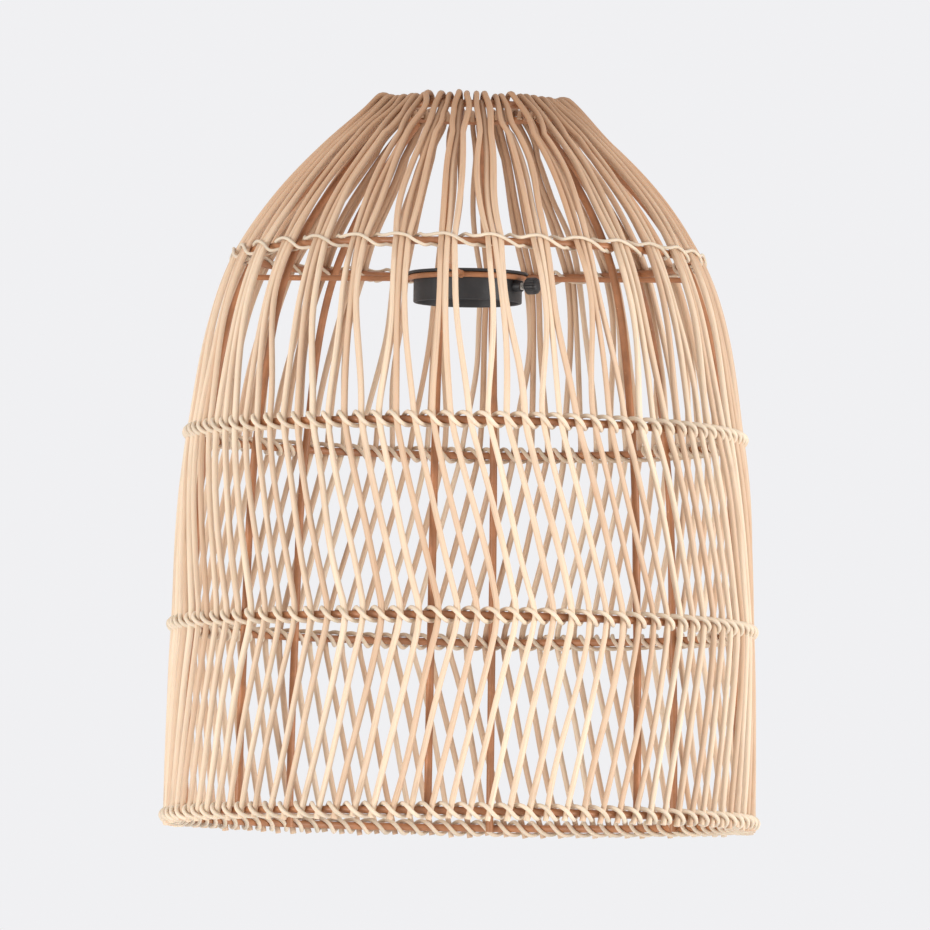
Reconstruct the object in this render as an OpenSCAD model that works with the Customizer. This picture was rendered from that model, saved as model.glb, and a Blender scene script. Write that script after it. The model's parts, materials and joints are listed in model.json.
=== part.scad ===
// Bell-shaped cane lamp shade on a wire frame, with a clamp collar for a lampholder.
// The origin is the centre of the collar's bore, with +Z up. Sizes are in millimetres.
// Heights below are measured up from the cane ends at the rim.

/* [Overall] */
// Height from the cane ends at the rim to the crest of the canes at the top
shade_h = 284; // [262:1:360]
// Diameter over the canes at the rim
rim_d = 230.8; // [180:0.2:300]
// Diameter of the top hoop, between wire centres
top_hoop_d = 71; // [62:0.5:100]

/* [Outline] */
// Height of the row at the shoulder
shoulder_z = 224; // [200:1:240]
// Diameter over the canes at the shoulder
shoulder_d = 182.5; // [150:0.5:225]
// Height of the upper row
upper_z = 153; // [125:1:180]
// Diameter over the canes at the upper row
upper_d = 217.5; // [180:0.5:270]
// Height of the lower row
lower_z = 78; // [50:1:105]
// Diameter over the canes at the lower row
lower_d = 227.4; // [180:0.2:290]
// Height of the row at the rim
rim_z = 3.6; // [3:0.1:10]
// How far down from the crest the crown's outline is set
crown_drop = 16; // [12:0.5:20]
// Diameter over the canes at that height
crown_d = 112; // [100:0.5:125]
// Angle from level of the line square to the canes where they meet the top hoop
crest_angle = 48; // [40:1:60]

/* [Canes] */
// Diameter of a cane
cane_d = 2.4; // [1.6:0.1:2.9]
// Number of bundles of three canes
bundles = 32; // [24:4:32]
// Turn of the first bundle from the front
bundle_turn = -5; // [-11:0.5:11]
// Part of the upper band, down from the shoulder, over which a bundle stays together
fan_start = 0.25; // [0:0.05:0.6]
// Angle that the canes drift from the shoulder to the upper row
upper_lean = 2; // [0:0.5:6]
// Angle that the canes lean one way from the upper to the lower row
middle_lean = 10; // [0:0.5:15]
// Angle that they lean back from the lower row to the rim
lower_lean = 9.2; // [0:0.2:15]
// Diameter of a strand of the rows that bind the canes
strand_d = 1.7; // [1:0.1:2]

/* [Frame] */
// Diameter of the hoops' wire
hoop_wire_d = 3; // [2:0.1:4]
// Diameter of the ribs' wire
rib_wire_d = 3; // [2:0.1:4]
// Turn of the first rib from the front
rib_turn = -6.4; // [-22:0.2:22]
// Gap left wherever two pieces are laid or welded against each other
joint_gap = 0.1; // [0.05:0.05:0.2]

/* [Fitter] */
// Diameter of the bore that slides over the lampholder
bore_d = 40; // [28:0.5:50]
// Length of the collar, with its flange
collar_h = 12; // [12:0.5:16]
// Wall of the collar's sleeve
collar_wall = 1.2; // [0.8:0.1:2]
// Thickness of the flange that hangs on the carrier ring
flange_t = 1.2; // [0.8:0.1:2]
// Diameter of the wire of the carrier ring and its arms
carrier_wire_d = 2.2; // [1.6:0.1:3]
// Height of the carrier ring
carrier_z = 214.7; // [195:0.1:216]
// Number of arms on the carrier ring, each to a rib
arms = 4; // [2,4,8]

/* [Clamp screw] */
// Diameter of the screw's thread
screw_d = 3; // [2:0.5:3]
// Running clearance round the screw, on the radius
screw_clearance = 0.05; // [0.02:0.01:0.1]
// Turn of the screw from the front
screw_turn = 60; // [50:1:72]
// Diameter of the threaded boss on the collar
boss_d = 4.4; // [4:0.1:4.4]
// How far the boss stands out of the collar's wall
boss_l = 3.2; // [2.6:0.1:5]
// Distance from the boss to the knob with the screw's tip level with the bore's wall
knob_lift = 1.8; // [1.4:0.1:3]
// Diameter of the knob
knob_d = 6.6; // [5.5:0.1:8]
// Length of the knob
knob_l = 5.8; // [4:0.1:8]
// Number of grip grooves round the knob
knob_grooves = 14; // [8:1:20]
// Distance of the screw's tip out from the bore's surface
tip_inset = 0.3; // [0.1:0.1:0.6]

/* [Hidden] */
RIBS = 8;
RIB_NAMES = [for (i = [1:RIBS]) str("rib_", i)];
ARM_NAMES = [for (i = [1:arms]) str("carrier_arm_", i)];
BUNDLE_NAMES = [for (i = [1:bundles]) str("cane_bundle_", i)];

cane_color = "burlywood";
strand_color = "wheat";
frame_color = "saddlebrown";
fitter_color = "dimgray";
screw_color = "silver";
smooth = 96;
cane_sides = 6;
rib_sides = 8;

// ---- Outline: a smooth curve through the rows, from the rim (0) to the top hoop (5) ----
RIM = 0;
LOWER = 1;
UPPER = 2;
SHOULDER = 3;
CREST = 5;
touch = cane_d + joint_gap;
wrap_r = hoop_wire_d / 2 + joint_gap + cane_d / 2;
crest_r = wrap_r + cane_d / 2;
top_hoop_z = shade_h - crest_r;
outline = [
    [rim_d / 2, 0],
    [lower_d / 2, lower_z],
    [upper_d / 2, upper_z],
    [shoulder_d / 2, shoulder_z],
    [crown_d / 2, shade_h - crown_drop],
    [top_hoop_d / 2, top_hoop_z] + crest_r * [cos(crest_angle), sin(crest_angle)]
];
function unit(v) = v / norm(v);
function chord(i) = norm(outline[i + 1] - outline[i]);
function slope_at(i) =
    i == 0 ? [0, 1] :
    i == CREST ? [-sin(crest_angle), cos(crest_angle)] :
    (chord(i) * (outline[i] - outline[i - 1]) / chord(i - 1)
        + chord(i - 1) * (outline[i + 1] - outline[i]) / chord(i)) / (chord(i - 1) + chord(i));
function segment(u) = min(floor(u), CREST - 1);
function on_curve(i, t) =
    (2 * t ^ 3 - 3 * t ^ 2 + 1) * outline[i] + (t ^ 3 - 2 * t ^ 2 + t) * chord(i) * slope_at(i)
    + (3 * t ^ 2 - 2 * t ^ 3) * outline[i + 1] + (t ^ 3 - t ^ 2) * chord(i) * slope_at(i + 1);
function along_curve(i, t) =
    (6 * t ^ 2 - 6 * t) * outline[i] + (3 * t ^ 2 - 4 * t + 1) * chord(i) * slope_at(i)
    + (6 * t - 6 * t ^ 2) * outline[i + 1] + (3 * t ^ 2 - 2 * t) * chord(i) * slope_at(i + 1);
// Outward normal of the outline, and the point at a depth under it, as [radius, height].
function outward(u) =
    let (i = segment(u), d = unit(along_curve(i, u - i))) [d[1], -d[0]];
function layer(u, depth) =
    let (i = segment(u)) on_curve(i, u - i) - depth * outward(u);
// The place on the outline whose layer lies at a height, found by halving.
function place_at(z, depth, low = RIM, high = CREST, steps = 24) =
    let (mid = (low + high) / 2)
    steps == 0 ? mid :
    layer(mid, depth)[1] < z ? place_at(z, depth, mid, high, steps - 1) :
    place_at(z, depth, low, mid, steps - 1);

// A point of the shade: turned from the front (-Y) towards +X, with its height from the origin.
collar_top_z = carrier_z + carrier_wire_d / 2 + joint_gap + flange_t;
origin_z = collar_top_z - collar_h / 2;
function turned(rz, turn) = [rz[0] * sin(turn), -rz[0] * cos(turn), rz[1]];
function placed(rz, turn) = turned(rz, turn) - [0, 0, origin_z];

// ---- Tubes swept along a path of [point, outward direction] ----
function tube_ring(path, i, r, sides) =
    let (
        ahead = path[min(i + 1, len(path) - 1)][0],
        behind = path[max(i - 1, 0)][0],
        t = unit(ahead - behind),
        n = unit(path[i][1] - (path[i][1] * t) * t),
        b = cross(t, n)
    )
    [for (k = [0:sides - 1]) path[i][0] + r * (cos(360 * k / sides) * n + sin(360 * k / sides) * b)];
function tube_points(path, r, sides) = [for (i = [0:len(path) - 1]) each tube_ring(path, i, r, sides)];
function tube_faces(rings, sides) = concat(
    [for (k = [1:sides - 2]) [0, k, k + 1]],
    [for (i = [0:rings - 2], k = [0:sides - 1]) each
        let (a = i * sides + k, b = i * sides + (k + 1) % sides)
        [[a, a + sides, b + sides], [a, b + sides, b]]],
    [for (k = [1:sides - 2]) (rings - 1) * sides * [1, 1, 1] + [0, k + 1, k]]
);
function shifted(faces, first) = [for (f = faces) [for (v = f) v + first]];
module tubes(paths, r, sides) {
    counts = [for (p = paths) len(p) * sides];
    starts = [for (i = [0:len(paths) - 1]) i == 0 ? 0 : i == 1 ? counts[0] : counts[0] + counts[1]];
    polyhedron(
        points = [for (p = paths) each tube_points(p, r, sides)],
        faces = [for (i = [0:len(paths) - 1]) each shifted(tube_faces(len(paths[i]), sides), starts[i])]
    );
}

module ring_wire(rz, wire_d) {
    translate([0, 0, rz[1] - origin_z])
        rotate_extrude($fn = smooth)
        translate([rz[0], 0])
        circle(d = wire_d, $fn = smooth / 2);
}

// ---- Frame ----
hoop_depth = cane_d + joint_gap + hoop_wire_d / 2;
rib_depth = hoop_depth + hoop_wire_d / 2 + joint_gap + rib_wire_d / 2;
rim_place = rim_z / lower_z;
rib_meets = place_at(carrier_z, rib_depth);

module top_hoop() {
    color(frame_color) ring_wire([top_hoop_d / 2, top_hoop_z], hoop_wire_d);
}
module row_hoop(place) {
    color(frame_color) ring_wire(layer(place, hoop_depth), hoop_wire_d);
}

// A rib's points: its foot, each row that it is welded to, where a carrier arm meets it, and
// enough others to follow the outline.
rib_foot = (rim_z - hoop_wire_d / 2) / lower_z;
bends_per_row = 3;
rib_bends = concat(
    [rib_foot, rim_place],
    [for (k = [1:bends_per_row * CREST]) k / bends_per_row]
);
rib_places = concat(
    [for (u = rib_bends) if (u < rib_meets) u],
    [rib_meets],
    [for (u = rib_bends) if (u > rib_meets) u]
);
function rib_azimuth(i) = rib_turn + i * 360 / RIBS;
function rib_path(turn) = [
    for (u = rib_places)
    [placed(layer(u, rib_depth), turn), turned(outward(u), turn)]
];
module rib(i) {
    color(frame_color) tubes([rib_path(rib_azimuth(i))], rib_wire_d / 2, rib_sides);
}

// ---- Canes ----
bundle_pitch = 360 / bundles;
cane_pitch = bundle_pitch / 3;
function degrees(length, radius) = length / radius * 180 / PI;
function radius_at(u) = layer(u, cane_d / 2)[0];
function ease(t) = t <= 0 ? 0 : t * t * (3 - 2 * t);
// Angle from a bundle's middle cane to its side canes: touching at the shoulder and evenly spread
// at the three lower rows. Where they cross the top hoop the two side canes just clear each other.
crest_spread = degrees(touch / 2, top_hoop_d / 2 - wrap_r);
function cone_gap(u) =
    let (crest_gap = crest_spread * PI / 180 * radius_at(CREST))
    touch + (crest_gap - touch) * (u - SHOULDER) / (CREST - SHOULDER);
function spread(u) =
    u >= SHOULDER ? degrees(cone_gap(u), radius_at(u)) :
    u >= UPPER ?
        let (close = degrees(touch, radius_at(u)), t = (SHOULDER - u - fan_start) / (1 - fan_start))
        close + (cane_pitch - close) * ease(t) :
    cane_pitch;
function lean(u) =
    u >= SHOULDER ? 0 :
    u >= UPPER ? upper_lean * (SHOULDER - u) :
    u >= LOWER ? upper_lean + middle_lean * (UPPER - u) :
    upper_lean + middle_lean - lower_lean * (LOWER - u);
// Above the shoulder the middle cane lies behind the other two, as deep as clears them.
function tuck(u) = u <= SHOULDER ? 0 : sqrt(max(0, touch ^ 2 - min(touch, cone_gap(u)) ^ 2));
binding_lift = hoop_wire_d / 2 + strand_d / 2 + joint_gap;
rim_inner_place = rim_place + binding_lift / chord(RIM);
band_places = concat(
    [RIM, rim_place, rim_inner_place, 0.5, LOWER, 1.5, UPPER, 2.3, 2.5, 2.7],
    [SHOULDER, SHOULDER + 1 / 3, SHOULDER + 2 / 3, 4, 4.5]
);
hook_steps = 4;
function cane_step(u, turn, side) =
    let (a = turn + lean(u) + side * spread(u), depth = cane_d / 2 + (side == 0 ? tuck(u) : 0))
    [placed(layer(u, depth), a), turned(outward(u), a)];
// A side cane bends over the top hoop and ends level with it, inside the shade.
function hook_step(i, turn, side) =
    let (
        lift = crest_angle + (180 - crest_angle) * i / hook_steps,
        a = turn + side * crest_spread,
        way = [cos(lift), sin(lift)]
    )
    [placed([top_hoop_d / 2, top_hoop_z] + wrap_r * way, a), turned(way, a)];
function side_cane(turn, side) = concat(
    [for (u = band_places) cane_step(u, turn, side)],
    [for (i = [0:hook_steps]) hook_step(i, turn, side)]
);
// The middle cane is cut off where it meets the top hoop.
middle_top = CREST - (hoop_wire_d / 2 + joint_gap) / chord(CREST - 1);
function middle_cane(turn) = [for (u = concat(band_places, [middle_top])) cane_step(u, turn, 0)];
module cane_bundle(i) {
    turn = bundle_turn + i * bundle_pitch;
    color(cane_color)
        tubes([side_cane(turn, -1), middle_cane(turn), side_cane(turn, 1)], cane_d / 2, cane_sides);
}

// ---- Bindings: one strand outside the canes, and one inside them just above the hoop ----
module binding(place) {
    band = min(segment(place), UPPER);
    inner = place + (band == UPPER ? -1 : 1) * binding_lift / chord(band);
    color(strand_color) {
        ring_wire(layer(place, -joint_gap - strand_d / 2), strand_d);
        ring_wire(layer(inner, touch + strand_d / 2), strand_d);
    }
}

// ---- Fitter: a collar hung on the carrier ring, and its clamp screw ----
sleeve_r = bore_d / 2 + collar_wall;
carrier_r = sleeve_r + joint_gap + carrier_wire_d / 2;
carrier_out_r = carrier_r + carrier_wire_d / 2;
module carrier_ring() {
    color(frame_color) ring_wire([carrier_r, carrier_z], carrier_wire_d);
}
rib_normal = outward(rib_meets);
arm_end_r = layer(rib_meets, rib_depth)[0]
    - (rib_wire_d / 2 + carrier_wire_d / 2 * rib_normal[1]) / rib_normal[0] - joint_gap;
module carrier_arm(i) {
    color(frame_color)
        rotate(rib_azimuth(i * RIBS / arms) - 90)
        translate([carrier_out_r + joint_gap, 0, carrier_z - origin_z])
        rotate([0, 90, 0])
        cylinder(d = carrier_wire_d, h = arm_end_r - carrier_out_r - joint_gap, $fn = smooth);
}
boss_end_r = sleeve_r + boss_l;
module screw_axis(r) {
    rotate(screw_turn - 90)
        translate([r, 0, 0])
        rotate([0, 90, 0])
        children();
}
module fitter_collar() {
    color(fitter_color)
        difference() {
            union() {
                translate([0, 0, -collar_h / 2])
                    cylinder(r = sleeve_r, h = collar_h, $fn = smooth);
                translate([0, 0, collar_h / 2 - flange_t])
                    cylinder(r = carrier_out_r, h = flange_t, $fn = smooth);
                screw_axis(bore_d / 2)
                    cylinder(d = boss_d, h = boss_end_r - bore_d / 2, $fn = smooth);
            }
            translate([0, 0, -collar_h])
                cylinder(d = bore_d, h = 2 * collar_h, $fn = smooth);
            screw_axis(bore_d / 4)
                cylinder(d = screw_d + 2 * screw_clearance, h = bore_d, $fn = smooth);
        }
}
knob_start_r = boss_end_r + knob_lift;
grip_l = 0.7 * knob_l;
groove_d = 0.5;
module clamp_screw() {
    color(screw_color)
        screw_axis(bore_d / 2 + tip_inset)
        cylinder(d = screw_d, h = knob_start_r + grip_l - bore_d / 2 - tip_inset, $fn = smooth);
}
crown_r = knob_l - grip_l;
module clamp_knob() {
    color(fitter_color)
        screw_axis(knob_start_r)
        difference() {
            union() {
                cylinder(d = knob_d, h = knob_l - crown_r, $fn = smooth);
                translate([0, 0, knob_l - crown_r])
                    rotate_extrude($fn = smooth)
                    intersection() {
                        union() {
                            translate([knob_d / 2 - crown_r, 0])
                                circle(r = crown_r, $fn = smooth);
                            square([knob_d / 2 - crown_r, crown_r]);
                        }
                        square([knob_d / 2, crown_r]);
                    }
            }
            translate([0, 0, -1])
                cylinder(d = screw_d + 2 * screw_clearance, h = grip_l + 1, $fn = smooth);
            for (i = [0:knob_grooves - 1])
                rotate(i * 360 / knob_grooves)
                translate([knob_d / 2, 0, -1])
                cylinder(d = groove_d, h = knob_l + 2, $fn = smooth);
        }
}

top_hoop();
row_hoop(SHOULDER);  // shoulder_hoop
row_hoop(UPPER);  // upper_hoop
row_hoop(LOWER);  // lower_hoop
row_hoop(rim_place);  // rim_hoop
for (i = [1:RIBS])
    rib(i - 1);
carrier_ring();
for (i = [1:arms])
    carrier_arm(i - 1);
fitter_collar();
clamp_screw();
clamp_knob();
for (i = [1:bundles])
    cane_bundle(i - 1);
binding(SHOULDER);  // shoulder_binding
binding(UPPER);  // upper_binding
binding(LOWER);  // lower_binding
binding(rim_place);  // rim_binding
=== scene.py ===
import json
import math
import random

import bmesh
import bpy
from bpy.props import FloatProperty, FloatVectorProperty, IntProperty, PointerProperty
from mathutils import Matrix, Vector


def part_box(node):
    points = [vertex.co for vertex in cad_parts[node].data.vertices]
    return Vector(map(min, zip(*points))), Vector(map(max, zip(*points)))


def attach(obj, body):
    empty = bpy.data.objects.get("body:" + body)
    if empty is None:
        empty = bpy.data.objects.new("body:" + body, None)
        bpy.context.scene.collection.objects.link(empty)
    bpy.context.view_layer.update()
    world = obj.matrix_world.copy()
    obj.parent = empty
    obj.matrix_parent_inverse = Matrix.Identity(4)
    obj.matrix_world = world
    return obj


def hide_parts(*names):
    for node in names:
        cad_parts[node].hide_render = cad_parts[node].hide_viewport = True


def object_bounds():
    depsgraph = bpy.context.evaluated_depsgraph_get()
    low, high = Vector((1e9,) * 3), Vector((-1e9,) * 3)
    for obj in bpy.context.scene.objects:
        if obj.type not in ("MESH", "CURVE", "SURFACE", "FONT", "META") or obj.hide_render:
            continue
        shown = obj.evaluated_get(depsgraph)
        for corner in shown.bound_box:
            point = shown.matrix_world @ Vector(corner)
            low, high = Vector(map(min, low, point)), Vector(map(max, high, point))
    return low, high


bl_info = {
    "name": "Cane Lamp Shade",
    "version": (1, 0, 0),
    "blender": (4, 5, 0),
    "location": "3D Viewport > Sidebar > Cane Shade",
    "description": "Builds a cane lamp shade round its packed frame",
    "category": "Object",
}

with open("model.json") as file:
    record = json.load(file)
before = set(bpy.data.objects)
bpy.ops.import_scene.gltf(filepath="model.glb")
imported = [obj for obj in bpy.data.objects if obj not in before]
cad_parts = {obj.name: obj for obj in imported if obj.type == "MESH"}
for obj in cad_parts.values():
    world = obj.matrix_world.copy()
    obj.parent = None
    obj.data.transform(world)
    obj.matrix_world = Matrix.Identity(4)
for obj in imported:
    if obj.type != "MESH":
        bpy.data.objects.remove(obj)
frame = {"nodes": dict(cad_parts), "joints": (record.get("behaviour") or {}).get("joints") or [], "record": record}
CAD_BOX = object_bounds()

RIM, LOWER, UPPER, SHOULDER, CROWN, CREST = range(6)
BUNDLES = 32
STAKES = 3 * BUNDLES
RIBS = 8
SHADE, SCREW, KNOB = "shade", "screw", "knob"
TAU = 2 * math.pi
CREST_ANGLE = math.radians(48)


# ---------------------------------------------------------------- sizes and colours

class ShadeSizes(bpy.types.PropertyGroup):
    """Sizes of the cane work, in metres"""
    cane_diameter: FloatProperty(
        name="Cane Diameter", description="Thickness of one cane", default=0.0024, unit="LENGTH")
    strand_diameter: FloatProperty(
        name="Strand Diameter", description="Thickness of a twined strand",
        default=0.0017, unit="LENGTH")
    tie_diameter: FloatProperty(
        name="Tie Diameter",
        description="Thickness of a strand that ties the bundles at the shoulder",
        default=0.0013, unit="LENGTH")
    bundle_turn: FloatProperty(
        name="Bundle Turn", description="Turn of the first bundle from the front",
        default=math.radians(-5), unit="ROTATION")
    rib_turn: FloatProperty(
        name="Rib Turn", description="Turn of the first rib from the front",
        default=math.radians(-6.4), unit="ROTATION")
    upper_lean: FloatProperty(
        name="Upper Lean", description="Drift of the canes from the shoulder to the upper row",
        default=math.radians(2), unit="ROTATION")
    middle_lean: FloatProperty(
        name="Middle Lean", description="Lean of the canes from the upper to the lower row",
        default=math.radians(10), unit="ROTATION")
    lower_lean: FloatProperty(
        name="Lower Lean", description="Lean back of the canes from the lower row to the rim",
        default=math.radians(9.2), unit="ROTATION")
    fan_start: FloatProperty(
        name="Fan Start", description="Part of the upper band over which a bundle stays together",
        default=0.25, subtype="FACTOR")
    crown_radius: FloatProperty(
        name="Crown Radius", description="Radius of the frame's outline halfway up the cone",
        default=0.0534, unit="LENGTH")
    crown_drop: FloatProperty(
        name="Crown Drop", description="How far that point lies under the top hoop's centre",
        default=0.0150, unit="LENGTH")
    bump_height: FloatProperty(
        name="Bump Height",
        description="How far the loosest bundle stands up where it bends over the top hoop",
        default=0.0032, unit="LENGTH")
    wobble: FloatProperty(
        name="Hand Wobble", description="How far a cane strays between the rows",
        default=0.0005, unit="LENGTH")
    seed: IntProperty(name="Seed", description="Seed of the hand-made irregularities", default=7)


class ShadeColours(bpy.types.PropertyGroup):
    """Colours of the shade's finishes"""
    cane_light: FloatVectorProperty(
        name="Cane, Light", description="Palest cane", subtype="COLOR", size=4,
        default=(0.79, 0.64, 0.475, 1))
    cane_dark: FloatVectorProperty(
        name="Cane, Dark", description="Darkest cane", subtype="COLOR", size=4,
        default=(0.50, 0.272, 0.145, 1))
    strand: FloatVectorProperty(
        name="Strand", description="Twined strand", subtype="COLOR", size=4,
        default=(0.84, 0.69, 0.52, 1))
    frame_brown: FloatVectorProperty(
        name="Frame", description="Painted wire", subtype="COLOR", size=4,
        default=(0.33, 0.140, 0.060, 1))
    fitter_black: FloatVectorProperty(
        name="Fitter", description="Powder-coated collar", subtype="COLOR", size=4,
        default=(0.018, 0.018, 0.019, 1))
    floor: FloatVectorProperty(
        name="Floor", description="Studio floor", subtype="COLOR", size=4,
        default=(0.80, 0.80, 0.81, 1))


# ---------------------------------------------------------------- node trees

class Tree:
    """Adds nodes to a tree: an input is given a socket, or the value to set on it."""

    def __init__(self, group):
        self.group = group

    def add(self, kind, given=None, **settings):
        node = self.group.nodes.new(kind)
        for key, value in settings.items():
            setattr(node, key, value)
        for key, value in (given or {}).items():
            socket = node.inputs[key]
            if isinstance(value, bpy.types.NodeSocket):
                self.group.links.new(value, socket)
            else:
                socket.default_value = value
        return node

    def math(self, operation, *values):
        return self.add("ShaderNodeMath", dict(enumerate(values)), operation=operation).outputs[0]

    def vector(self, operation, *values):
        given = dict(enumerate(values))
        return self.add("ShaderNodeVectorMath", given, operation=operation).outputs[0]

    def join(self, output, node, key):
        self.group.links.new(output, node.inputs[key])


class GeometryTree(Tree):
    """A Geometry Nodes tree with named inputs."""

    def __init__(self, name, inputs):
        super().__init__(bpy.data.node_groups.new(name, "GeometryNodeTree"))
        face = self.group.interface
        face.new_socket("Geometry", in_out="INPUT", socket_type="NodeSocketGeometry")
        for label, kind in inputs.items():
            face.new_socket(label, in_out="INPUT", socket_type=kind)
        face.new_socket("Geometry", in_out="OUTPUT", socket_type="NodeSocketGeometry")
        self.start = self.add("NodeGroupInput").outputs

    def store(self, geometry, name, kind, value, domain="POINT"):
        return self.add("GeometryNodeStoreNamedAttribute",
                        {"Geometry": geometry, "Name": name, "Value": value},
                        data_type=kind, domain=domain).outputs["Geometry"]

    def attribute(self, name, kind):
        node = self.add("GeometryNodeInputNamedAttribute", {"Name": name}, data_type=kind)
        return node.outputs["Attribute"]

    def section(self):
        """A round section that carries its own coordinates."""
        radius = self.math("MULTIPLY", self.start["Diameter"], 0.5)
        circle = self.add("GeometryNodeCurvePrimitiveCircle",
                          {"Resolution": self.start["Sides"], "Radius": radius}).outputs["Curve"]
        place = self.add("GeometryNodeInputPosition").outputs[0]
        return self.store(circle, "section", "FLOAT_VECTOR", place)

    def with_fibre(self, tube):
        """Stores coordinates that follow the fibre of each swept line."""
        along = self.add("ShaderNodeCombineXYZ", {"Z": self.attribute("along", "FLOAT")}).outputs[0]
        fibre = self.vector("ADD", self.attribute("section", "FLOAT_VECTOR"), along)
        return self.store(tube, "fibre", "FLOAT_VECTOR", fibre)

    def finish(self, geometry):
        """Realizes the result, gives it its material and ends the tree."""
        real = self.add("GeometryNodeRealizeInstances", {"Geometry": geometry}).outputs[0]
        done = self.add("GeometryNodeSetMaterial",
                        {"Geometry": real, "Material": self.start["Material"]}).outputs[0]
        self.add("NodeGroupOutput", {0: done})
        return self.group


def sweep_tree():
    """Sweeps a round section along lines, with coordinates that follow the fibre of each."""
    tree = GeometryTree("Sweep Along Lines", {
        "Diameter": "NodeSocketFloat", "Sides": "NodeSocketInt", "Material": "NodeSocketMaterial"})
    line = tree.add("GeometryNodeMeshToCurve", {"Mesh": tree.start["Geometry"]}).outputs[0]
    tube = tree.add("GeometryNodeCurveToMesh", {
        "Curve": line, "Profile Curve": tree.section(),
        "Scale": tree.attribute("thickness", "FLOAT"), "Fill Caps": True}).outputs[0]
    tube = tree.with_fibre(tube)
    face = tree.add("GeometryNodeInputIndex").outputs[0]
    corners = tree.add("GeometryNodeCornersOfFace", {"Face Index": face}).outputs["Total"]
    side_corners = 4.5  # a side face has four corners, and an end cap has more
    cut = tree.math("GREATER_THAN", corners, side_corners)
    tube = tree.store(tube, "cut", "FLOAT", cut, domain="FACE")
    smooth = tree.add("GeometryNodeSetShadeSmooth", {
        "Geometry": tube, "Shade Smooth": tree.math("LESS_THAN", corners, side_corners)}).outputs[0]
    return tree.finish(smooth)


def set_inputs(modifier, values):
    """Sets a modifier's inputs, found by name in its tree, by their sockets' identifiers."""
    for item in modifier.node_group.interface.items_tree:
        if item.in_out == "INPUT" and item.name in values:
            modifier[item.identifier] = values[item.name]


def grown(name, source, tree, values):
    """The plain mesh object that a Geometry Nodes tree makes from a source mesh."""
    maker = bpy.data.objects.new(name + "_maker", source)
    bpy.context.scene.collection.objects.link(maker)
    modifier = maker.modifiers.new("Grow", "NODES")
    modifier.node_group = tree
    set_inputs(modifier, values)
    graph = bpy.context.evaluated_depsgraph_get()
    mesh = bpy.data.meshes.new_from_object(maker.evaluated_get(graph))
    bpy.data.objects.remove(maker)
    mesh.name = name
    piece = bpy.data.objects.new(name, mesh)
    bpy.context.scene.collection.objects.link(piece)
    return piece


def line_mesh(name, lines):
    """Lines as a mesh. Each is (points, shares of the diameter, tint, closed)."""
    mesh = bpy.data.meshes.new(name)
    points, edges, thick, along, tints = [], [], [], [], []
    for number, (path, shares, tint, closed) in enumerate(lines):
        first = len(points)
        points += path
        edges += [(first + i, first + i + 1) for i in range(len(path) - 1)]
        if closed:
            edges.append((first + len(path) - 1, first))
        thick += shares if isinstance(shares, list) else [shares] * len(path)
        tints += [tint] * len(path)
        run = float(number)
        for i, point in enumerate(path):
            run += (Vector(point) - Vector(path[i - 1])).length if i else 0
            along.append(run)
    mesh.from_pydata(points, edges, [])
    for label, values in (("thickness", thick), ("along", along), ("tint", tints)):
        mesh.attributes.new(label, "FLOAT", "POINT").data.foreach_set("value", values)
    return mesh


def install(piece, body, slot, *nodes):
    """Parents a finished piece to its body and hides the CAD nodes that it replaces."""
    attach(piece, body)
    if nodes:
        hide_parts(*nodes)


# ---------------------------------------------------------------- outline of the frame

def hoop_size(node):
    """Radius to the wire's centre, height, and wire diameter of a CAD hoop."""
    low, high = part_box(node)
    wire = high[2] - low[2]
    return (high[0] - low[0] - wire) / 2, (high[2] + low[2]) / 2, wire


HOOPS = ("rim_hoop", "lower_hoop", "upper_hoop", "shoulder_hoop", "top_hoop")


class Outline:
    """The smooth line through the hoops' centres, from the rim (0) to the top hoop (5)."""

    def __init__(self, sizes):
        rim, lower, upper, shoulder, top = (Vector(hoop_size(name)[:2]) for name in HOOPS)
        self.wire = hoop_size("top_hoop")[2]
        self.foot_z = CAD_BOX[0][2]
        foot = Vector((rim[0], self.foot_z))
        crown = Vector((sizes.crown_radius, top[1] - sizes.crown_drop))
        self.knots = [foot, lower, upper, shoulder, crown, top]
        self.rim_u = (rim[1] - foot[1]) / (lower[1] - foot[1])
        chords = [b - a for a, b in zip(self.knots, self.knots[1:])]
        spans = [chord.length for chord in chords]
        self.slopes = [Vector((0, 1))]
        for i in range(1, CREST):
            blend = spans[i] * chords[i - 1] / spans[i - 1] + spans[i - 1] * chords[i] / spans[i]
            self.slopes.append(blend / (spans[i - 1] + spans[i]))
        self.slopes.append(Vector((-math.sin(CREST_ANGLE), math.cos(CREST_ANGLE))))
        self.spans = spans

    def curve(self, u):
        i = min(int(u), CREST - 1)
        t = u - i
        m0, m1 = self.spans[i] * self.slopes[i], self.spans[i] * self.slopes[i + 1]
        point = ((2 * t**3 - 3 * t**2 + 1) * self.knots[i] + (t**3 - 2 * t**2 + t) * m0
                 + (3 * t**2 - 2 * t**3) * self.knots[i + 1] + (t**3 - t**2) * m1)
        way = ((6 * t**2 - 6 * t) * self.knots[i] + (3 * t**2 - 4 * t + 1) * m0
               + (6 * t - 6 * t**2) * self.knots[i + 1] + (3 * t**2 - 2 * t) * m1).normalized()
        return point, Vector((way[1], -way[0])), way

    def layer(self, u, out):
        """Radius and height at a place, a distance outside the hoops' centres."""
        point, normal, _ = self.curve(u)
        return point + out * normal


def turned(radius_height, angle):
    """The point at a radius and height, turned from the front (-Y) towards +X."""
    radius, height = radius_height
    return (radius * math.sin(angle), -radius * math.cos(angle), height)


# ---------------------------------------------------------------- cane layout

def ease(t):
    t = max(0.0, min(1.0, t))
    return t * t * (3 - 2 * t)


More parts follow.
